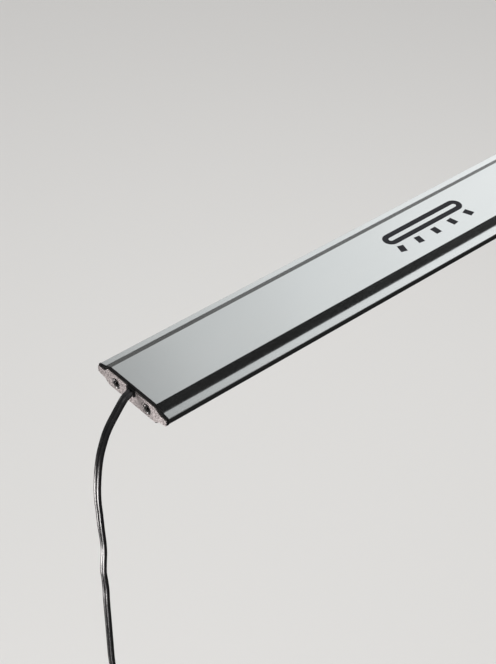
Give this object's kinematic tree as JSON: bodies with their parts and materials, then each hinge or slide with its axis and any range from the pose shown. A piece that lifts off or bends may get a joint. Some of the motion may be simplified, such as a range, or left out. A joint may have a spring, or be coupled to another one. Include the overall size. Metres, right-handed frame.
{
  "type": "led light bar",
  "caption": "Slim aluminium LED light bar with clip wings, sealed end plates, opal lens on its underside and a flat twin supply lead.",
  "frame": {"origin": "centre of the bar's flat top face", "axes": "+X along the bar away from the lead, +Y across it, +Z out of the top face; the lens faces -Z"},
  "size_m": [0.4002, 0.05, 0.3027],
  "materials": {
    "anodised_aluminium": "satin silver anodised, fine lengthwise grain",
    "blasted_plate": "bead-blasted, unpolished",
    "black_rubber": "matt",
    "black_screw": "black oxide, worn bright on the edges",
    "black_print": "flush print",
    "tape": "matt",
    "board_white": "white solder mask",
    "led_white": "matt",
    "phosphor": "silicone gel",
    "component_black": "moulded",
    "solder": "bright solder",
    "core_red": "PVC",
    "lead_black": "glossy PVC",
    "opal": "opal acrylic",
    "seal_grey": "silicone",
    "hook_loop": "hook-and-loop strap"
  },
  "bodies": {
    "root": {"housing": "anodised_aluminium", "top_mark": "black_print", "end_plate_cable": "blasted_plate", "end_plate_blank": "blasted_plate", "gasket_cable": "black_rubber", "gasket_blank": "black_rubber", "end_screws_cable": "black_screw", "end_screws_blank": "black_screw", "cable_grommet": "black_rubber", "thermal_tape": "tape", "led_board": "board_white", "led_packages": "led_white", "led_phosphors": "phosphor", "ballast_resistors": "component_black", "polarity_diode": "component_black", "solder_joints": "solder", "core_positive": "core_red", "core_negative": "lead_black", "lens": "opal", "lens_seal_left": "seal_grey", "lens_seal_right": "seal_grey", "lead": "lead_black", "lead_hank": "lead_black", "lead_tie": "hook_loop", "lead_core_ends": "lead_black", "lead_tinned_tips": "solder"}
  },
  "joints": []
}
